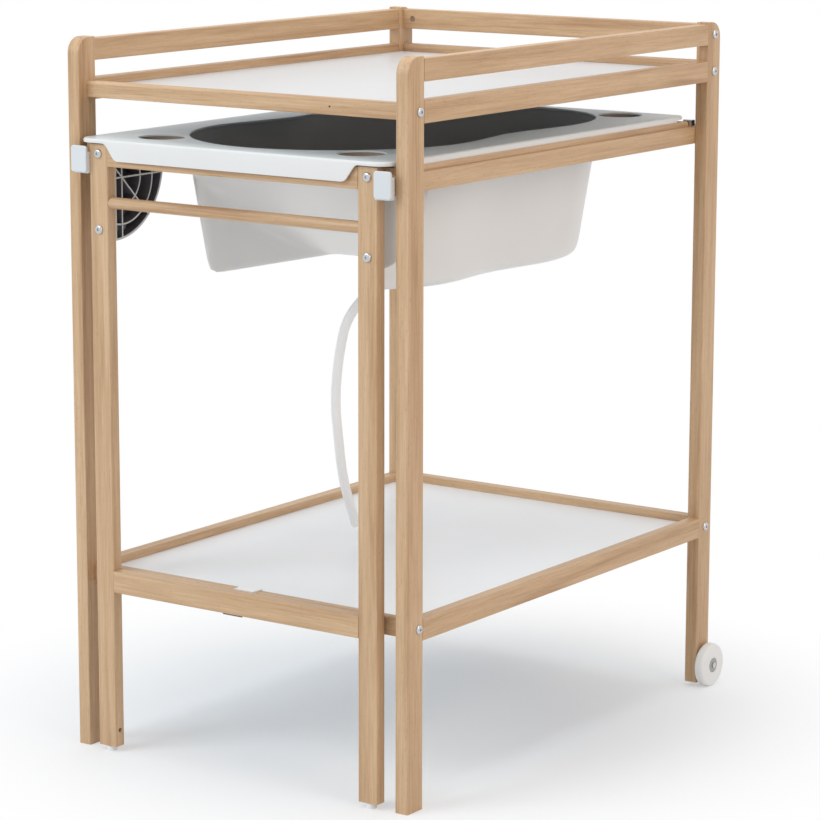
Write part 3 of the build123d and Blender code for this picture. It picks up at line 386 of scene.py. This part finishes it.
# Wheels of 66 by 15 mm at the rear posts: moulded in pale plastic.
# They turn on the axle screws, between grey plastic washers and spacers.
dress(moulded_part("wheel_tread", (0.88, 0.88, 0.865), gloss=0.5, bump=0.08), "wheel_left", "wheel_right")
dress(moulded_part("hub_cap", (0.42, 0.42, 0.41), gloss=0.45, bump=0.08), "hub_washers", "wheel_spacers")

# Glides under the legs and the housing of the latch magnet: white plastic.
# The housing is let into the front shelf rail, and the dark striker plate hangs behind the stretcher.
pale_moulding = moulded_part("glide_moulding", (0.90, 0.905, 0.91), gloss=0.4, bump=0.05)
dress(pale_moulding, "leg_glides", "latch_magnet")
dress(plated_part("striker_plate", (0.10, 0.095, 0.09), gloss=0.42, metallic=0.6), "latch_striker")

# Catches of 27 by 36 mm at the tops of the legs, screwed on: white plastic.
# The drain's flange, plug and elbow are moulded in the same plastic.
white_moulding = moulded_part("white_moulding", (0.68, 0.705, 0.72), gloss=0.3, bump=0.05)
dress(white_moulding, "catch_left", "catch_right", "drain_flange", "drain_elbow", "drain_plug")

# Corner brackets: quarter discs of 104 mm radius, moulded in cream plastic, behind the legs.
# Towards the tub they are open, with thin light ribs, and the pockets between the ribs are painted dark
# grey as shade.
bracket_corner = (0, -0.387, 0.8285)
rib_tint, pocket_shade_tint = (0.62, 0.60, 0.57, 1), (0.135, 0.13, 0.14, 1)
pocket_face, pocket_floor, pocket_edge = (0.2122, 0.2128), (0.2350, 0.2360), (0.1045, 0.1055)
bracket_look = moulded_part("bracket_moulding", (0.62, 0.575, 0.50), gloss=0.4, bump=0.08)
bracket_tree = bracket_look.node_tree
bracket_place = put(bracket_tree, "ShaderNodeTexCoord").outputs["Object"]
bracket_x = put(bracket_tree, "ShaderNodeSeparateXYZ", None, {0: bracket_place}).outputs[0]
bracket_side = put(bracket_tree, "ShaderNodeMath", {"operation": "ABSOLUTE"}, {0: bracket_x}).outputs[0]
# Painted shade: the pockets between the ribs, found by their distance across and from the corner, are
# coloured dark grey for the shade that falls in them.
deep = reach(bracket_tree, bracket_side, *pocket_face)
shallow = calculate(bracket_tree, "SUBTRACT", 1.0, reach(bracket_tree, bracket_side, *pocket_floor))
from_corner = measure(bracket_tree, "SUBTRACT", bracket_place, bracket_corner).outputs[0]
flat_corner = measure(bracket_tree, "MULTIPLY", from_corner, (0, 1, 1)).outputs[0]
corner_far = measure(bracket_tree, "LENGTH", flat_corner).outputs["Value"]
within = calculate(bracket_tree, "SUBTRACT", 1.0, reach(bracket_tree, corner_far, *pocket_edge))
pocket_shade_mask = calculate(bracket_tree, "MULTIPLY", calculate(bracket_tree, "MULTIPLY", deep, shallow), within)
ribs_with_pocket_shade = blend_colour(bracket_tree, pocket_shade_mask, rib_tint, pocket_shade_tint)
bracket_tree.links.new(ribs_with_pocket_shade, bracket_tree.nodes["body"].inputs["Color"])
dress(bracket_look, "corner_bracket_left", "corner_bracket_right")


def closed_spline(points, count):
    """Points spread along the smooth closed curve that passes through the given points."""
    points = np.array(points, float)
    size = len(points)
    steps = np.linalg.norm(np.roll(points, -1, axis=0) - points, axis=1)
    matrix = np.zeros((size, size))
    right = np.zeros((size, 2))
    for index in range(size):
        after = (index + 1) % size
        matrix[index, index - 1] += steps[index - 1]
        matrix[index, index] += 2 * (steps[index - 1] + steps[index])
        matrix[index, after] += steps[index]
        rise = (points[after] - points[index]) / steps[index]
        right[index] = 6 * (rise - (points[index] - points[index - 1]) / steps[index - 1])
    bends = np.linalg.solve(matrix, right)
    starts = np.concatenate([[0], np.cumsum(steps)])
    result = []
    for place in np.linspace(0, starts[-1], count, endpoint=False):
        index = int(np.searchsorted(starts, place, side="right")) - 1
        after = (index + 1) % size
        step = steps[index]
        far = place - starts[index]
        near = step - far
        curve = (bends[index] * near**3 + bends[after] * far**3) / (6 * step)
        line = (points[index] / step - bends[index] * step / 6) * near
        result.append(curve + line + (points[after] / step - bends[after] * step / 6) * far)
    return np.array(result)


def solid(name, loops):
    """A closed mesh object through loops of equal numbers of points, its ends capped."""
    mesh = bpy.data.meshes.new(name)
    count = len(loops[0])
    points = [tuple(point) for loop in loops for point in loop]
    faces = []
    for level in range(len(loops) - 1):
        for index in range(count):
            after = (index + 1) % count
            low = level * count
            faces.append((low + index, low + after, low + count + after, low + count + index))
    faces.append(tuple(reversed(range(count))))
    faces.append(tuple(range((len(loops) - 1) * count, len(loops) * count)))
    mesh.from_pydata(points, [], faces)
    mesh.validate()
    item = bpy.data.objects.new(name, mesh)
    scene.collection.objects.link(item)
    outward(item)
    return item


def outward(item):
    """Turns a closed mesh's faces outward."""
    work = bmesh.new()
    work.from_mesh(item.data)
    bmesh.ops.recalc_face_normals(work, faces=work.faces)
    work.to_mesh(item.data)
    work.free()


def settle(item, kind, **settings):
    """Adds a modifier with its settings and applies it."""
    modifier = item.modifiers.new(kind.lower(), kind)
    for key, value in settings.items():
        setattr(modifier, key, value)
    bpy.ops.object.select_all(action="DESELECT")
    item.select_set(True)
    bpy.context.view_layer.objects.active = item
    bpy.ops.object.modifier_apply(modifier=modifier.name)


def carve(item, tool, operation="DIFFERENCE"):
    """Cuts a tool from a mesh or joins it on, and deletes the tool."""
    settle(item, "BOOLEAN", object=tool, operation=operation, solver="EXACT")
    bpy.data.objects.remove(tool, do_unlink=True)


# Tub: one sheet of off-white plastic, thermoformed and trimmed. It hangs by its rim on the runners.
# Rim 520 by 750 mm at 865.5 mm, bowl 416 by 693 mm and 196 mm deep, walls of 3 mm.
# A ramp 260 mm wide rises to the front as a back rest, with a lobe on either side.
rim_front, rim_back, rim_side, rim_top = -0.411, 0.339, 0.260, 0.8655
bowl_front, bowl_length, bowl_floor, bowl_wall = -0.372, 0.693, 0.6695, 0.003
front_half, waist_half, rear_half = 0.208, 0.190, 0.201

# Outline of the bowl on one side: a half width, the share of it that is kept, and the share of
# the length from the front.
bowl_shape = [
    (front_half, 0.685, 0.088),
    (front_half, 1.0, 0.288),
    (waist_half, 1.0, 0.51),
    (rear_half, 1.0, 0.74),
    (rear_half, 0.74, 0.926),
]


def bowl_loop(inset, height, count=120):
    """The bowl's outline at a height, drawn in by an inset."""
    front = bowl_front + inset
    length = bowl_length - inset * 2
    right = [((half - inset) * kept, front + length * share) for half, kept, share in bowl_shape]
    left = [(-x, y) for x, y in reversed(right)]
    outline = closed_spline([(0, front), *right, (0, front + length), *left], count)
    return [(x, y, height) for x, y in outline]


# Draft of the bowl from its floor to above the rim, as (inset, height).
bowl_levels = [
    (0.040 - bowl_wall, bowl_floor - bowl_wall),
    (0.030 - bowl_wall, bowl_floor + 0.005 - bowl_wall),
    (0.026 - bowl_wall, bowl_floor + 0.016),
    (-bowl_wall, rim_top),
    (-bowl_wall - 0.003, rim_top + 0.020),
]
bowl = solid("bowl_form", [bowl_loop(inset, height) for inset, height in bowl_levels])

# Ramp: pressed up from the bowl's floor, and given here as cross sections along its length.
# It rises in a curve from its foot to a knee, then straight, and ends in two round flanks.
ramp_low, ramp_base, ramp_half = bowl_floor - bowl_wall, 0.64, 0.130
ramp_foot, ramp_knee, ramp_knee_rise, ramp_slope = 0.010, -0.165, 0.060, 0.62
flank_start, flank_round, least_rise = -0.270, 0.032, 0.0005
ramp_curve = np.polyfit([ramp_knee, -0.051, ramp_foot], [ramp_knee_rise, 0.016, 0.0], 2)
flank_stations = [-0.385, -0.335, -0.302, -0.298, -0.291, -0.282]
ramp_stations = [flank_start, ramp_knee, -0.14, -0.115, -0.09, -0.06, -0.03, ramp_foot]
ramp_loops = []
for station in flank_stations + ramp_stations:
    if station > ramp_knee:
        rise = np.polyval(ramp_curve, station)
    else:
        rise = ramp_knee_rise - ramp_slope * (station - ramp_knee)
    flare = 0.0
    if station < flank_start:
        past = min(flank_start - station, flank_round)
        flare = flank_round - math.sqrt(max(flank_round**2 - past**2, 0.0))
    half = ramp_half + flare
    top = ramp_low + max(rise, least_rise)
    base_line = [(-half, station, ramp_base), (half, station, ramp_base)]
    ramp_loops.append([*base_line, (half, station, top), (-half, station, top)])
carve(bowl, solid("ramp_form", ramp_loops))
settle(bowl, "REMESH", mode="VOXEL", voxel_size=0.0042, use_smooth_shade=True)
settle(bowl, "SMOOTH", factor=0.5, iterations=12)

# The floors of the two lobes climb a little towards the front.
lobe_climb, climb_start, climb_length, climb_top, climb_fade = 0.005, -0.02, 0.25, 0.76, 0.09
for vertex in bowl.data.vertices:
    ahead = min(max((climb_start - vertex.co.y) / climb_length, 0.0), 1.0)
    low = min(max((climb_top - vertex.co.z) / climb_fade, 0.0), 1.0)
    vertex.co.z += lobe_climb * ahead * low
hollow = bowl.copy()
hollow.data = bowl.data.copy()
scene.collection.objects.link(hollow)
settle(hollow, "DISPLACE", strength=-bowl_wall, mid_level=0.0, direction="NORMAL")

# Rim of the tub: a flat flange with a skirt turned down round it. The skirt's lower edge drops
# to the apron at the front, given here on one side as (distance from the middle, height).
apron_low, corner_low, skirt_low = 0.8370, 0.8600, 0.8565
apron_half = [
    (0.235, corner_low), (0.222, corner_low), (0.2143, corner_low), (0.2112, 0.8594),
    (0.2086, 0.8578), (0.2065, 0.8556), (0.2045, 0.8530), (0.2005, 0.8475),
    (0.1955, 0.8408), (0.1932, 0.8389), (0.1903, 0.8375), (0.1865, apron_low),
    (0.150, apron_low), (0.100, apron_low), (0.050, apron_low),
]
front_corner, rear_corner = 0.025, 0.010
front_corner_y = rim_front + front_corner
rear_corner_x, rear_corner_y = rim_side - rear_corner, rim_back - rear_corner
apron = [(-x, low) for x, low in apron_half] + [(0, apron_low)] + apron_half[::-1]

# Each point of the track has a centre, the way that it faces, a radius and the lower edge.
rim_track = [((x, front_corner_y), (0, -1), front_corner, low) for x, low in apron]
for turn in range(1, 10):
    angle = math.radians(-90 + turn * 10)
    way = (math.cos(angle), math.sin(angle))
    low = corner_low if turn < 9 else skirt_low
    rim_track.append(((rim_side - front_corner, front_corner_y), way, front_corner, low))
skirt_stations = [(y, skirt_low) for y in (-0.36, -0.2, 0, 0.2, 0.3185)] + [(0.3190, corner_low)]
for y, low in skirt_stations:
    rim_track.append(((rear_corner_x, y), (1, 0), rear_corner, low))
for turn in range(0, 6):
    angle = math.radians(turn * 18)
    way = (math.cos(angle), math.sin(angle))
    rim_track.append(((rear_corner_x, rear_corner_y), way, rear_corner, corner_low))
back_stations = (0.235, 0.1, 0, -0.1, -0.235)
back_edge = [((x, rear_corner_y), (0, 1), rear_corner, skirt_low) for x in back_stations]
left_side = []
for (x, y), (across_way, along_way), radius, low in reversed(rim_track[len(apron) :]):
    left_side.append(((-x, y), (-across_way, along_way), radius, low))
rim_track = rim_track + back_edge + left_side


def rim_loop(inset, height):
    """The rim's outline drawn in by an inset, at a height or down to the skirt's lower edge."""
    loop = []
    for (x, y), (across_way, along_way), radius, low in rim_track:
        far = radius - inset
        loop.append((x + across_way * far, y + along_way * far, low if height is None else height))
    return loop


# Section of the rim from under the flange round the skirt to its top, as (inset, height).
rim_section = [
    (0.010, 0.8625),
    (0.0030, 0.8625),
    (0.0028, None),
    (0.0004, None),
    (0.0, 0.8628),
    (0.0004, 0.8640),
    (0.0013, 0.8650),
    (0.0026, rim_top),
    (0.0100, rim_top),
]
tub = solid("tub_shell", [rim_loop(inset, height) for inset, height in rim_section])


def lathe(name, middle, profile, count=64):
    """A turned solid through (radius, height) points about an upright axis."""
    turns = [2 * math.pi * index / count for index in range(count)]
    loops = []
    for radius, height in profile:
        ring = [(radius * math.cos(turn), radius * math.sin(turn)) for turn in turns]
        loops.append([(middle[0] + x, middle[1] + y, height) for x, y in ring])
    return solid(name, loops)


def paint(item, index, height=1.0, other=0):
    """Gives a cutter's faces a slot, and those above a height another one."""
    for polygon in item.data.polygons:
        polygon.material_index = index if polygon.center.z < height else other


def smooth(item, degrees=35):
    """Shades a mesh smooth, with its edges sharper than an angle kept."""
    for polygon in item.data.polygons:
        polygon.use_smooth = True
    item.data.set_sharp_from_angle(angle=math.radians(degrees))


# Looks of the tub: the rim's top gets a cool white as painted cool light, the inside of the bowl a grey
# as painted shade, and the dishes a brown as painted shade with a painted reflection of the beech.
shell_tint, rim_cool_light_tint, top_light_heights = (0.76, 0.75, 0.735), (0.74, 0.80, 0.82), (0.8638, 0.8654)
shell_look = moulded_part("tub_outside", shell_tint, gloss=0.33, bump=0.05)
shell_tree = shell_look.node_tree
shell_place = put(shell_tree, "ShaderNodeTexCoord").outputs["Object"]
shell_height = put(shell_tree, "ShaderNodeSeparateXYZ", None, {0: shell_place}).outputs[2]
# Painted light: above the rim's top edge the off-white plastic turns to a cool tint, for the cool light
# that falls on it.
top_light_share = reach(shell_tree, shell_height, *top_light_heights)
shell_with_top_light = blend_colour(shell_tree, top_light_share, (*shell_tint, 1), (*rim_cool_light_tint, 1))
shell_tree.links.new(shell_with_top_light, shell_tree.nodes["body"].inputs["Color"])
# Painted shade: the bowl's inside is grey in place of the tub's off-white, for the shade that falls in it
# under the changing board.
inside_shade_look = moulded_part("tub_inside_painted_shade", (0.41, 0.41, 0.405), gloss=0.42, bump=0.05)
# Painted shade and painted reflection: the dishes' insides are a dark brown, for the shade in them and
# the beech mirrored in them, not the white plastic's colour.
dish_shade_look = moulded_part("dish_painted_shade", (0.34, 0.27, 0.22), gloss=0.4, bump=0.05)
tub_looks = (shell_look, inside_shade_look, dish_shade_look)

# The bowl is cut off under the rim, joined to it with four dishes of 64 mm, and hollowed.
# The dishes are 14 mm deep, 74 mm from the rim's front and 51 mm from its back, and turned
# through (radius, height) points. The drain's hole is 30 mm across.
cut_height = 0.8640
dishes = [(-0.168, rim_front + 0.074), (0.168, rim_front + 0.074)]
dishes += [(-0.180, rim_back - 0.051), (0.180, rim_back - 0.051)]
dish_cups = [(0.0300, 0.8490), (0.0345, 0.8530), (0.0345, cut_height)]
dish_hollow = [(0.0250, 0.8515), (0.0290, 0.8525), (0.0312, 0.8548), (0.0320, 0.8580)]
dish_hollow += [(0.0320, 0.8635), (0.0336, 0.8657), (0.0345, 0.8800)]
dish_shade_height = 0.8636
drain_y, drain_radius, drain_from, drain_to = 0.046, 0.0150, 0.655, 0.675
bowl_work = bmesh.new()
bowl_work.from_mesh(bowl.data)
bmesh.ops.bisect_plane(
    bowl_work,
    geom=bowl_work.verts[:] + bowl_work.edges[:] + bowl_work.faces[:],
    plane_co=(0, 0, cut_height),
    plane_no=(0, 0, 1),
    clear_outer=True,
)
open_edges = [edge for edge in bowl_work.edges if edge.is_boundary]
bmesh.ops.holes_fill(bowl_work, edges=open_edges, sides=0)
bowl_work.to_mesh(bowl.data)
bowl_work.free()
for form in (tub, bowl, hollow):
    for look in tub_looks:
        form.data.materials.append(look)
for place in dishes:
    carve(tub, lathe("dish_cup", place, dish_cups), "UNION")
carve(tub, bowl, "UNION")
# The hollowed inside takes the slot of the painted shade.
paint(hollow, 1)
carve(tub, hollow)
for place in dishes:
    dish = lathe("dish_cut", place, dish_hollow)
    for look in tub_looks:
        dish.data.materials.append(look)
    paint(dish, 2, dish_shade_height)
    carve(tub, dish)
drain_hole = [(drain_radius, drain_from), (drain_radius, drain_to)]
carve(tub, lathe("drain_cut", (0, drain_y), drain_hole, count=32))
smooth(tub)
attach(tub, "bath_unit")
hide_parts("tub")

# Lip of the bowl: a rolled bead of 4 mm along the opening, in the plastic of the tub.
bead_radius, bead_drop, bead_inset = 0.0020, 0.0018, 0.0004
bead_curve = bpy.data.curves.new("tub_lip", "CURVE")
bead_curve.dimensions = "3D"
bead_curve.bevel_depth = bead_radius
bead_curve.bevel_resolution = 3
bead_line = bead_curve.splines.new("POLY")
bead_points = bowl_loop(bead_inset, rim_top - bead_drop, count=160)
bead_line.points.add(len(bead_points) - 1)
for point, place in zip(bead_line.points, bead_points):
    point.co = (*place, 1)
bead_line.use_cyclic_u = True
bead = bpy.data.objects.new("tub_lip", bead_curve)
scene.collection.objects.link(bead)
bead_curve.materials.append(moulded_part("tub_lip_look", (0.68, 0.71, 0.72), gloss=0.3, bump=0.04))
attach(bead, "bath_unit")

# Drain hose: flexible white tubing of 14 mm, pushed on the elbow under the tub.
# It goes down to the shelf in one loose bend, and its far end is bare.
hose_radius = 0.007
hose_curve = bpy.data.curves.new("hose", "CURVE")
hose_curve.dimensions = "3D"
hose_curve.bevel_depth = hose_radius
hose_curve.bevel_resolution = 6
hose_curve.resolution_u = 16
hose_line = hose_curve.splines.new("NURBS")
hose_route = [
    (0, 0.006, 0.6455),
    (0, -0.060, 0.6455),
    (-0.020, -0.112, 0.6055),
    (-0.040, -0.106, 0.5455),
    (-0.055, -0.096, 0.4755),
    (-0.060, -0.080, 0.4105),
    (-0.068, -0.060, 0.3555),
    (-0.075, -0.032, 0.3055),
    (-0.083, -0.008, 0.2735),
]
hose_line.points.add(len(hose_route) - 1)
for point, place in zip(hose_line.points, hose_route):
    point.co = (*place, 1)
hose_line.order_u = 3
hose_line.use_endpoint_u = True
hose = bpy.data.objects.new("hose", hose_curve)
scene.collection.objects.link(hose)
hose_curve.materials.append(moulded_part("hose_tube", (0.91, 0.91, 0.905), gloss=0.38, bump=0.05))
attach(hose, "bath_unit")
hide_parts("drain_hose")
